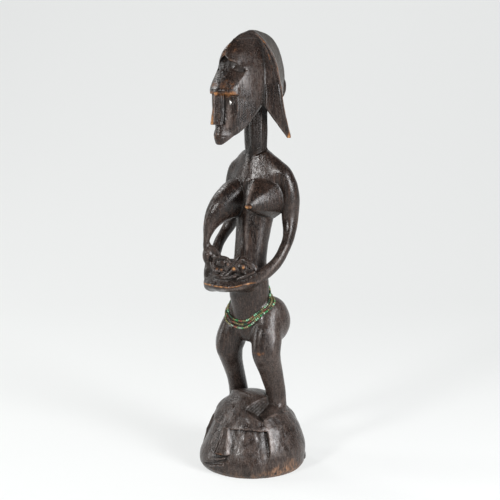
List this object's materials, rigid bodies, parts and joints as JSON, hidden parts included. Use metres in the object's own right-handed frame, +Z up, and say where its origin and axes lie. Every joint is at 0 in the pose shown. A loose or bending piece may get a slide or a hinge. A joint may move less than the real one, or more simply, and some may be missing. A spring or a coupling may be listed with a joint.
{
  "type": "carved wooden mother-and-child figure on a domed base",
  "caption": "Tall carved hardwood mother-and-child figure with a crested coiffure, nursing an infant on a tray of joined hands, waist beads, standing on a domed head-shaped base.",
  "frame": {"origin": "centre of the flat underside of the domed base, on the surface that the figure stands on", "axes": "+Z up along the body, -Y is the way the figure faces, +X is the figure's own left side"},
  "size_m": [0.1378, 0.1401, 0.56],
  "materials": {
    "carved_wood": "dark oiled patina, satin, worn to orange-brown on raised edges",
    "beads_green": "glossy glass seed beads, mint and emerald",
    "beads_olive": "glossy glass seed beads, olive and brick red",
    "eye_metal": "worn flat metal inlay"
  },
  "bodies": {
    "root": {"figure": "carved_wood", "bead_strand_upper": "beads_green", "bead_strand_middle": "beads_olive", "bead_strand_lower": "beads_green", "eye_inlay_left": "eye_metal", "eye_inlay_right": "eye_metal"}
  },
  "joints": []
}
